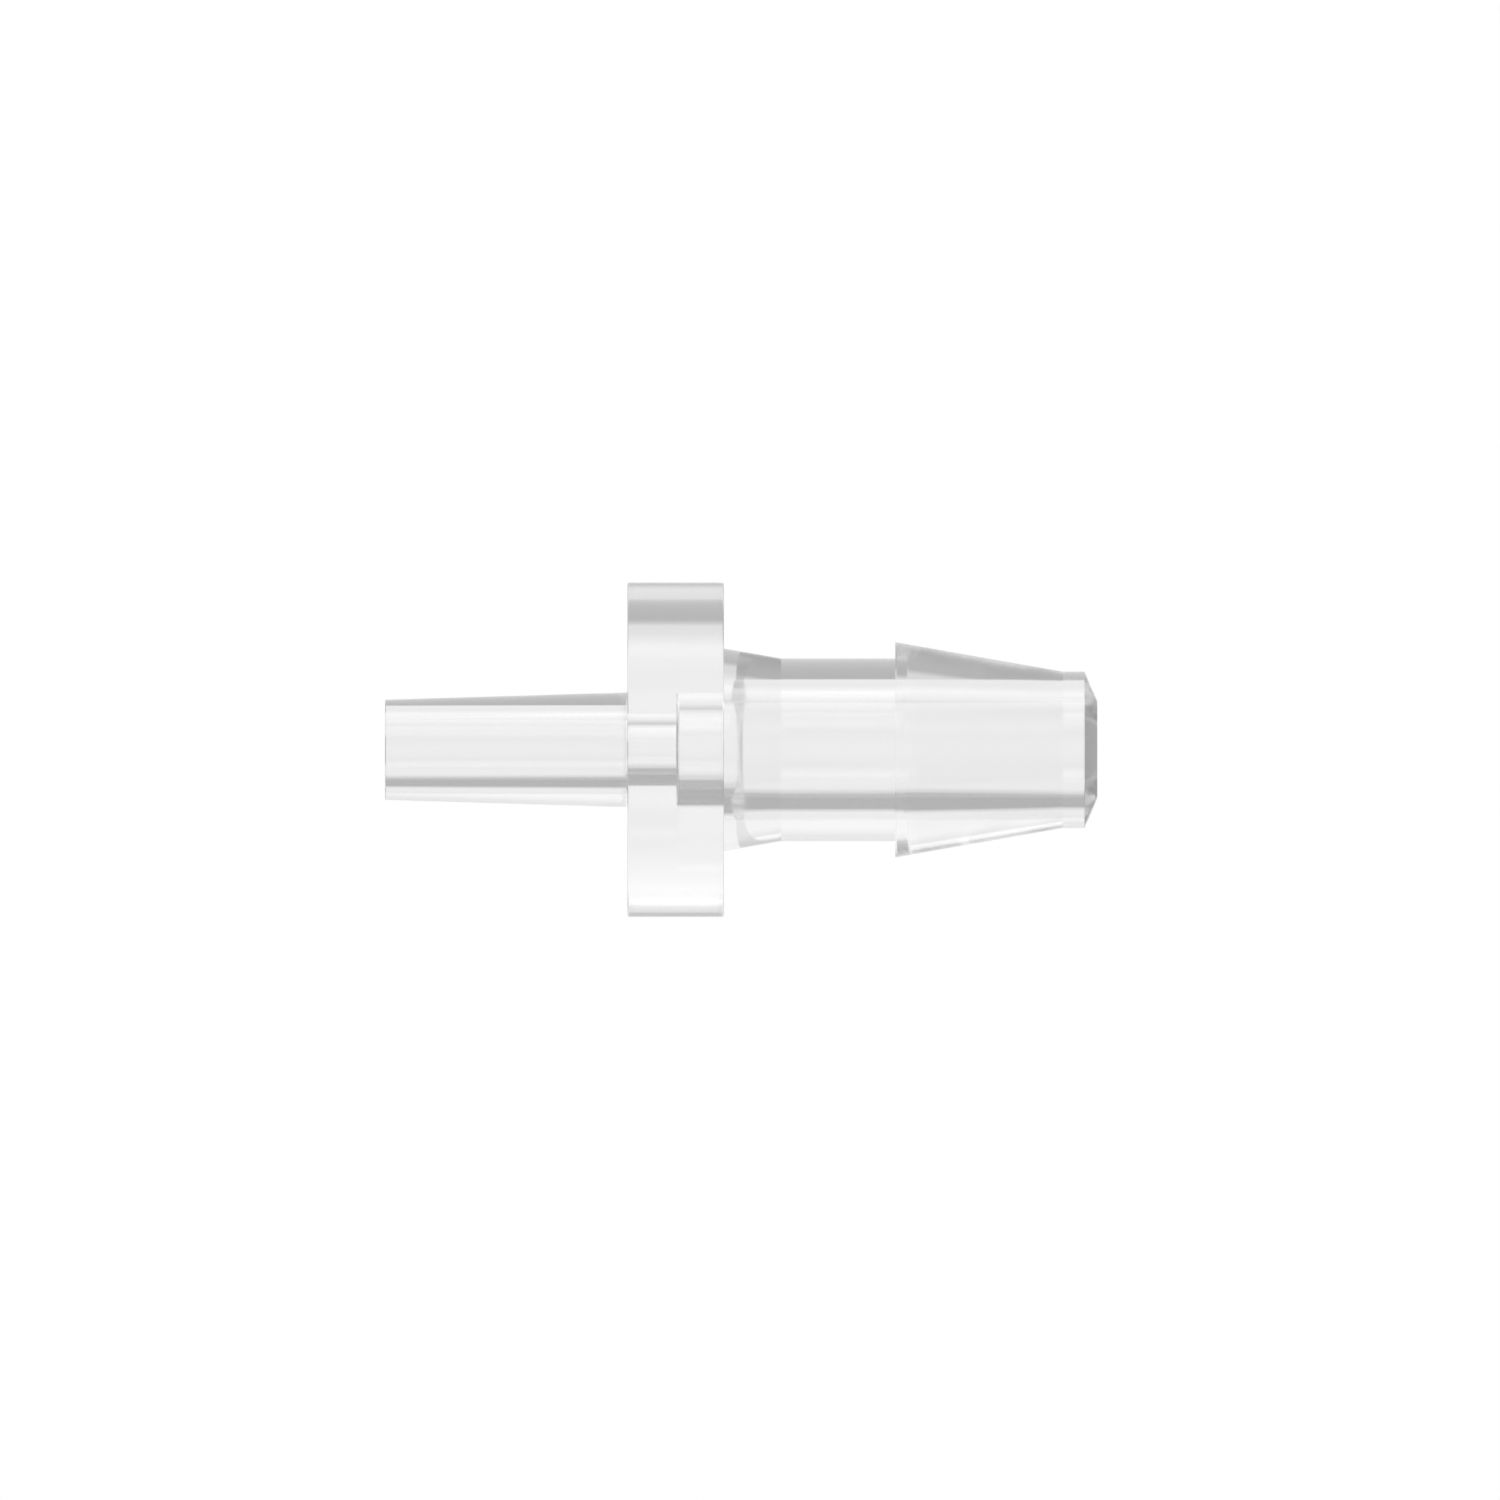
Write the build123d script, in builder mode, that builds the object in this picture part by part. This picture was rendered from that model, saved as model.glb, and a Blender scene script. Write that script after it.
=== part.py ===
from build123d import *
import os

os.makedirs("parts", exist_ok=True)

# A tubing adapter moulded in one piece: a male luer slip cone, a finger flange and a hose barb in line,
# with a waterway right through. It stands on the face of its luer tip, with its axis along Z.
# All sizes are in millimetres.

# Luer slip cone, with the 6 % taper of the luer standard
luer_tip_diameter = 3.97
luer_taper = 0.06
luer_length = 9.6
luer_lip_radius = 0.06

# Finger flange: a thick oval, with a wide arc for each side and a tight one for each end, so that it
# gives the fingers a grip and doesn't roll
flange_length = 13.25
flange_width = 10.4
flange_side_radius = 8.65
flange_thickness = 3.82
flange_rim_radius = 0.06

# Cone that carries the flange into the neck
root_diameter = 8.03
root_length = 2.26

# Neck, where the end of the tubing closes in behind the barb
neck_diameter = 7.24
neck_length = 4.53

# Barb, which falls from a square shoulder to a short land
barb_diameter = 8.53
barb_length = 6.63
land_diameter = 6.2
land_length = 0.87

# Blunt nose that guides the tubing on, and what is left of its end around the bore
nose_length = 0.5
nose_lip = 0.04

# Waterway: a narrow bore from the luer tip and a wide one from the nose, which meet inside the flange
luer_bore_diameter = 2.4
barb_bore_diameter = 3.8
step_above_flange_base = 1.94

# Heights of the joins along the axis, from the luer tip up
flange_base = luer_length
flange_top = flange_base + flange_thickness
root_top = flange_top + root_length
shoulder = root_top + neck_length
land_base = shoulder + barb_length
nose_base = land_base + land_length
overall_length = nose_base + nose_length

luer_base_diameter = luer_tip_diameter + luer_taper * luer_length

# The end arcs touch both side arcs from inside and reach the flange's full length, which gives their radius
side_arc_offset = flange_side_radius - flange_width / 2
flange_end_radius = (flange_side_radius**2 - side_arc_offset**2 - (flange_length / 2) ** 2) / (
    2 * flange_side_radius - flange_length
)

nose_tip_diameter = barb_bore_diameter + 2 * nose_lip
wide_bore_depth = overall_length - flange_base - step_above_flange_base

with BuildPart() as fitting:
    # Luer cone, root, neck, barb and nose are one half section turned about the axis
    with BuildSketch(Plane.XZ):
        with BuildLine():
            Polyline(
                (0, 0),
                (luer_tip_diameter / 2, 0),
                (luer_base_diameter / 2, flange_base),
                (root_diameter / 2, flange_base),
                (root_diameter / 2, flange_top),
                (neck_diameter / 2, root_top),
                (neck_diameter / 2, shoulder),
                (barb_diameter / 2, shoulder),
                (land_diameter / 2, land_base),
                (land_diameter / 2, nose_base),
                (nose_tip_diameter / 2, overall_length),
                (0, overall_length),
                close=True,
            )
        make_face()
    revolve(axis=Axis.Z)

    # The lip of the luer tip is slightly rounded, so that it slides into its socket
    luer_lip = fitting.edges().group_by(Axis.Z)[0]
    fillet(luer_lip, radius=luer_lip_radius)

    # The flange's outline is where two wide circles overlap, with the end arcs rounding its two points
    with BuildSketch(Plane.XY.offset(flange_base)):
        with Locations((0, side_arc_offset)):
            Circle(flange_side_radius)
        with Locations((0, -side_arc_offset)):
            Circle(flange_side_radius, mode=Mode.INTERSECT)
        end_points = vertices()
        fillet(end_points, radius=flange_end_radius)
    extrude(amount=flange_thickness)

    # Its two rims are only just broken
    flange_faces = fitting.faces().filter_by(Plane.XY).sort_by(SortBy.AREA)[-2:]
    flange_rims = [edge for face in flange_faces for edge in face.outer_wire().edges()]
    fillet(flange_rims, radius=flange_rim_radius)

    # The two core pins of the mould leave a square step where they meet
    with Locations(Plane.XY.offset(overall_length)):
        CounterBoreHole(
            radius=luer_bore_diameter / 2,
            counter_bore_radius=barb_bore_diameter / 2,
            counter_bore_depth=wide_bore_depth,
        )

fitting.part.label = "luer_fitting"
export_step(fitting.part, "parts/luer_fitting.step")
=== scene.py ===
import math

import bpy
from mathutils import Matrix, Vector


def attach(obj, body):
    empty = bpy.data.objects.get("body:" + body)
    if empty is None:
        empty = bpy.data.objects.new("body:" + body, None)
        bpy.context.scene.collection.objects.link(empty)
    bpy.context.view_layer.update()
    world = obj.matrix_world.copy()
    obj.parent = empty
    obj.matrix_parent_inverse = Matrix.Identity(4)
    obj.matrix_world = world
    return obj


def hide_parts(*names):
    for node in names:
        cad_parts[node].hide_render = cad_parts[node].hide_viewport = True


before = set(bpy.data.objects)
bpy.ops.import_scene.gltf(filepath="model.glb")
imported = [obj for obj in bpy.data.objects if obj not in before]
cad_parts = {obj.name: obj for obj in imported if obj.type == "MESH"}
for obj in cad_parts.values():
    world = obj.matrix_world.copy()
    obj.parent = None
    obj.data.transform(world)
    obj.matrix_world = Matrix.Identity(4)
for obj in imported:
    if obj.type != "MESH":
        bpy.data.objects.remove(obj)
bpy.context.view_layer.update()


# The fitting: one injection moulding in clear polypropylene, with a luer slip cone, an oval finger flange
# and a hose barb in line. Two core pins, one from each end, left the bore and the step where they met.
# Its skin is one closed loop of rings, up the outside and down the bore, so light bends through its walls.
mm = 0.001

# Radii, and heights above the face of the luer tip. Every length in this script is in millimetres, until
# mm turns it into metres.
luer_tip_radius = 1.985
luer_base_radius = 2.273
luer_bore_radius = 1.2
barb_bore_radius = 1.9
bore_step = 11.54
flange_base = 9.6
flange_top = 13.42
root_radius = 4.015
root_top = 15.68
neck_radius = 3.62
shoulder = 20.21
barb_radius = 4.265
land_base = 26.84
land_radius = 3.1
nose_base = 27.71
nose_tip_radius = 1.94
nose_top = 28.21

# The flange's reach from the axis, along X to its ends and along Y to its wide sides. Along Y it stops
# where the solid's mesh does, a hair inside the moulded width.
flange_reach_x = 6.625
flange_reach_y = 5.195
side_radius = 8.65
side_offset = side_radius - flange_reach_y
end_radius = (side_radius**2 - side_offset**2 - flange_reach_x**2) / (2 * (side_radius - flange_reach_x))
end_offset = flange_reach_x - end_radius

# Where an end arc hands over to a side arc, both have their centres on one line
join_direction = math.atan2(side_offset, end_offset)
join_x = end_offset + end_radius * math.cos(join_direction)
join_y = end_radius * math.sin(join_direction)

# Roundings: on the luer tip's lip and the flange's rims, between land and nose, and at the step in the
# bore, where the end of the wide core pin was rounded
lip = 0.06
fine_edge = 0.04
pin_edge = 0.1


def reach_to_circle(x, y, centre_x, centre_y, radius):
    """How far it is from the axis, along the direction (x, y), to a circle that the axis is inside."""
    along = x * centre_x + y * centre_y
    return along + math.sqrt(along**2 - centre_x**2 - centre_y**2 + radius**2)


def flange_reach(angle):
    """The flange's outline: an oval with a wide arc for each side and a tight one for each end."""
    x = abs(math.cos(angle))
    y = abs(math.sin(angle))
    if y * join_x < x * join_y:
        return reach_to_circle(x, y, end_offset, 0, end_radius)
    return reach_to_circle(x, y, 0, -side_offset, side_radius)


def softened(corners, steps=6):
    """A chain of (distance from the axis, height, whether it is a hard edge) through a run of corners.

    A corner that has a radius becomes an arc, with a ring just before and after it that keeps the shading
    of the straight runs true.
    """
    chain = []
    for index, (distance, height, radius) in enumerate(corners):
        here = Vector((distance, height))
        if not radius:
            chain.append((distance, height, True))
            continue
        back = (Vector(corners[index - 1][:2]) - here).normalized()
        ahead = (Vector(corners[index + 1][:2]) - here).normalized()
        half_angle = back.angle(ahead) / 2
        inset = radius / math.tan(half_angle)
        middle = here + (back + ahead).normalized() * (radius / math.sin(half_angle))
        start = here + back * inset - middle
        end = here + ahead * inset - middle
        arc = [middle + start.slerp(end, step / steps) * radius for step in range(steps + 1)]
        support = inset + radius / 2
        for point in (here + back * support, *arc, here + ahead * support):
            chain.append((point.x, point.y, False))
    return chain


luer_outside = softened([
    (luer_bore_radius, 0, 0),
    (luer_tip_radius, 0, lip),
    (luer_base_radius, flange_base, 0),
])
# On the flange the distance is counted inwards from its outline, so its rims are at 0. The first and the
# last corner only give the rims' arcs a direction to turn to, and are left off again.
inwards = 1.0
flange_outside = softened([
    (inwards, flange_base, 0),
    (0, flange_base, lip),
    (0, flange_top, lip),
    (inwards, flange_top, 0),
])[1:-1]
barb_outside = softened([
    (root_radius, flange_top, 0),
    (neck_radius, root_top, 0),
    (neck_radius, shoulder, 0),
    (barb_radius, shoulder, 0),
    (land_radius, land_base, 0),
    (land_radius, nose_base, fine_edge),
    (nose_tip_radius, nose_top, 0),
])
bore_inside = softened([
    (barb_bore_radius, nose_top, 0),
    (barb_bore_radius, bore_step, pin_edge),
    (luer_bore_radius, bore_step, 0),
])

# A ring is its reach at every angle around the axis, its height, and whether it is a hard edge
points_around = 720
angles = [2 * math.pi * step / points_around for step in range(points_around)]
rings = []
for distance, height, hard in luer_outside:
    rings.append(([distance] * points_around, height, hard))
for inset, height, hard in flange_outside:
    rings.append(([flange_reach(angle) - inset for angle in angles], height, hard))
for distance, height, hard in barb_outside + bore_inside:
    rings.append(([distance] * points_around, height, hard))

points = []
for reaches, height, hard in rings:
    for reach, angle in zip(reaches, angles):
        points.append(Vector((reach * math.cos(angle), reach * math.sin(angle), height)) * mm)
faces = []
for ring in range(len(rings)):
    following = (ring + 1) % len(rings)
    for step in range(points_around):
        beside = (step + 1) % points_around
        faces.append((
            ring * points_around + step,
            ring * points_around + beside,
            following * points_around + beside,
            following * points_around + step,
        ))
skin = bpy.data.meshes.new("fitting")
skin.from_pydata(points, [], faces)
skin.shade_smooth()
for edge in skin.edges:
    first, second = edge.vertices
    same_ring = first // points_around == second // points_around
    edge.use_edge_sharp = same_ring and rings[first // points_around][2]
fitting = bpy.data.objects.new("fitting", skin)
bpy.context.collection.objects.link(fitting)


class Shade:
    """A socket in a node tree. Sums, differences and products of sockets add the Math nodes for them."""

    def __init__(self, tree, socket=None):
        self.tree = tree
        self.socket = socket

    def node(self, kind, settings, inputs, output=0):
        """Add a node with its settings and its sockets' values or links, and give one of its outputs."""
        made = self.tree.nodes.new(kind)
        for name, setting in settings.items():
            if name == "stops":
                ramp = made.color_ramp.elements
                while len(ramp) < len(setting):
                    ramp.new(1)
                for element, (position, level) in zip(ramp, setting):
                    element.position = position
                    element.color = (level, level, level, 1)
            else:
                setattr(made, name, setting)
        for key, given in inputs.items():
            if isinstance(given, Shade):
                self.tree.links.new(given.socket, made.inputs[key])
            else:
                made.inputs[key].default_value = given
        return Shade(self.tree, made.outputs[output] if len(made.outputs) else None)

    def sibling(self, output):
        """Another output of the node that this socket belongs to."""
        return Shade(self.tree, self.socket.node.outputs[output])

    def maths(self, operation, *terms):
        return self.node("ShaderNodeMath", {"operation": operation}, dict(enumerate(terms)))

    def __add__(self, other):
        return self.maths("ADD", self, other)

    def __sub__(self, other):
        return self.maths("SUBTRACT", self, other)

    def __rsub__(self, other):
        return self.maths("SUBTRACT", other, self)

    def __mul__(self, other):
        return self.maths("MULTIPLY", self, other)

    __radd__ = __add__
    __rmul__ = __mul__


# Clear plastic is never quite even: faint clouds, some millimetres across, vary its clearness and gloss
clouds_per_metre = 180.0
cloud_detail = 3.0
clearest = (1, 1, 1, 1)
dimmest = (0.98, 0.982, 0.982, 1)
smoothest = 0.05
roughness_spread = 0.06
refractive_index = 1.47
clear_plastic = bpy.data.materials.new("clear_polypropylene")
clear_plastic.use_nodes = True
clear_plastic.node_tree.nodes.clear()
plastic = Shade(clear_plastic.node_tree)
place = plastic.node("ShaderNodeTexCoord", {}, {}, "Object")
cloud = plastic.node("ShaderNodeTexNoise", {}, {
    "Vector": place,
    "Scale": clouds_per_metre,
    "Detail": cloud_detail,
})
# The Mix node's factor, its two colours and its colour output
tint = plastic.node("ShaderNodeMix", {"data_type": "RGBA"}, {0: cloud, 6: dimmest, 7: clearest}, 2)
surface = plastic.node("ShaderNodeBsdfPrincipled", {}, {
    "Base Color": tint,
    "Roughness": cloud * roughness_spread + smoothest,
    "IOR": refractive_index,
    "Transmission Weight": 1.0,
})
plastic.node("ShaderNodeOutputMaterial", {}, {"Surface": surface})
skin.materials.append(clear_plastic)

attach(fitting, "root")
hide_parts("luer_fitting")


# The floor: a plain, pale, matt board, on which the fitting stands by its luer tip. It takes the fitting's
# shadow, and lets mirrored and bent rays through, so that the clear walls show the studio all round.
pale = (0.9, 0.9, 0.9, 1)
floor_side = 800
half = floor_side / 2

# A hair's gap below the luer tip, so that its face and the floor don't flicker through each other
gap_under_tip = 0.03
floor_corners = [(-half, -half), (half, -half), (half, half), (-half, half)]
floor_points = [Vector((x, y, -gap_under_tip)) * mm for x, y in floor_corners]
floor_mesh = bpy.data.meshes.new("floor")
floor_mesh.from_pydata(floor_points, [], [(0, 1, 2, 3)])
floor = bpy.data.objects.new("floor", floor_mesh)
bpy.context.collection.objects.link(floor)
floor_material = bpy.data.materials.new("floor")
floor_material.use_nodes = True
floor_material.node_tree.nodes.clear()
paint = Shade(floor_material.node_tree)
matt = paint.node("ShaderNodeBsdfDiffuse", {}, {"Color": pale})
mirrored = paint.node("ShaderNodeLightPath", {}, {}, "Is Glossy Ray")
bent = mirrored.sibling("Is Transmission Ray")
see_through = paint.node("ShaderNodeBsdfTransparent", {}, {})
floor_look = paint.node("ShaderNodeMixShader", {}, {0: mirrored + bent, 1: matt, 2: see_through})
paint.node("ShaderNodeOutputMaterial", {}, {"Surface": floor_look})
floor_mesh.materials.append(floor_material)


# The studio: a wide pale tent around the fitting, with grey cards for the dark edges of its clear walls
# and soft boxes for the bright ones. All of it is made of levels of light by direction, in degrees.
studio = bpy.data.worlds.new("studio")
bpy.context.scene.world = studio
studio.use_nodes = True
studio.node_tree.nodes.clear()
room = Shade(studio.node_tree)
direction = room.node("ShaderNodeTexCoord", {}, {}, "Generated")
across = room.node("ShaderNodeSeparateXYZ", {}, {"Vector": direction}, "X")
away = across.sibling("Y")
up = across.sibling("Z")

# A bearing is 0 straight behind the fitting and grows towards -X, and an elevation is 0 when level
bearing = room.maths("ARCTAN2", across * -1, away) * (180 / math.pi)
elevation = room.maths("ARCSINE", up) * (180 / math.pi)


def run_of_levels(angle, widest, levels):
    """A level for each angle, in a straight run from each (degrees, level) to the next."""
    stops = [(degrees / (2 * widest) + 0.5, level) for degrees, level in levels]
    return room.node("ShaderNodeValToRGB", {"stops": stops}, {"Fac": angle * (1 / (2 * widest)) + 0.5})


around_the_room = run_of_levels(bearing, 180, [
    (-180, 0.75),
    (-140, 0.3),
    (-134, 0.8),
    (-30, 0.75),
    (-24, 0.93),
    (20, 0.93),
    (45, 1.05),
    (70, 0.9),
    (90, 0.55),
    (135, 0.95),
    (180, 0.95),
])
up_and_down = run_of_levels(elevation, 90, [
    (-60, 0.3),
    (-25, 0.6),
    (-20, 0.95),
    (35, 0.95),
    (90, 0.55),
])
tent = around_the_room * up_and_down


def between(angle, start, end, soft=4.0):
    """1 from the start of a card to its end, and falling to 0 over a few soft degrees past its edges."""
    half_width = (end - start) / 2
    return room.node("ShaderNodeMapRange", {}, {
        "Value": room.maths("ABSOLUTE", angle - (start + end) / 2),
        "From Min": half_width,
        "From Max": half_width + soft,
        "To Min": 1.0,
        "To Max": 0.0,
    })


# Grey cards, then soft boxes: the bearings of both sides, the elevations of bottom and top, and the level
for start, end, bottom, top, level in (
    (-90, -38, -20, 20, 0.45),
    (-110, -30, -45, -17, 0.3),
    (-10, 10, 15, 35, 0.35),
    (138, 146, -2, 2, 0.35),
    (60, 80, -30, -15, 1.3),
    (102, 128, -4, 4, 2.0),
):
    there = between(bearing, start, end) * between(elevation, bottom, top)
    tent = room.node("ShaderNodeMix", {"data_type": "FLOAT"}, {"Factor": there, "A": tent, "B": level})

# Past the floor the camera itself sees plain white, and below the horizon the lit floor's own shade
floor_shade = 0.6
white = 1.0
all_floor_at = -3.0
all_white_at = -1.0
backdrop = room.node("ShaderNodeMapRange", {}, {
    "Value": elevation,
    "From Min": all_floor_at,
    "From Max": all_white_at,
    "To Min": floor_shade,
    "To Max": white,
})
seen = room.node("ShaderNodeLightPath", {}, {}, "Is Camera Ray")
strength = room.node("ShaderNodeMix", {"data_type": "FLOAT"}, {"Factor": seen, "A": tent, "B": backdrop})
glow = room.node("ShaderNodeBackground", {}, {"Color": (1, 1, 1, 1), "Strength": strength})
room.node("ShaderNodeOutputWorld", {}, {"Surface": glow})


# The camera: it has no perspective, as if from far off, and looks level at one of the flange's two wide
# sides. It is turned on its side, so that the luer tip is at the left of the picture.
pixels_per_mm = 25.25
picture_side = 1500
luer_tip_pixel = 385
axis_pixel = 749.75
camera_distance = 250
middle = picture_side / 2
aim_x = (middle - axis_pixel) / pixels_per_mm
aim_z = (middle - luer_tip_pixel) / pixels_per_mm
picture_right = Vector((0, 0, 1))
picture_up = Vector((-1, 0, 0))
towards_camera = Vector((0, -1, 0))
turned = Matrix((picture_right, picture_up, towards_camera)).transposed().to_4x4()
camera_data = bpy.data.cameras.new("camera")
camera_data.type = "ORTHO"
camera_data.ortho_scale = picture_side / pixels_per_mm * mm
camera = bpy.data.objects.new("camera", camera_data)
bpy.context.collection.objects.link(camera)
camera.matrix_world = Matrix.Translation(Vector((aim_x, -camera_distance, aim_z)) * mm) @ turned
bpy.context.scene.camera = camera
bpy.context.scene.view_settings.view_transform = "Standard"

# Light runs to and fro many times inside the clear walls before it leaves them
bounces = 64
bpy.context.scene.cycles.max_bounces = bounces
bpy.context.scene.cycles.glossy_bounces = bounces
bpy.context.scene.cycles.transmission_bounces = bounces
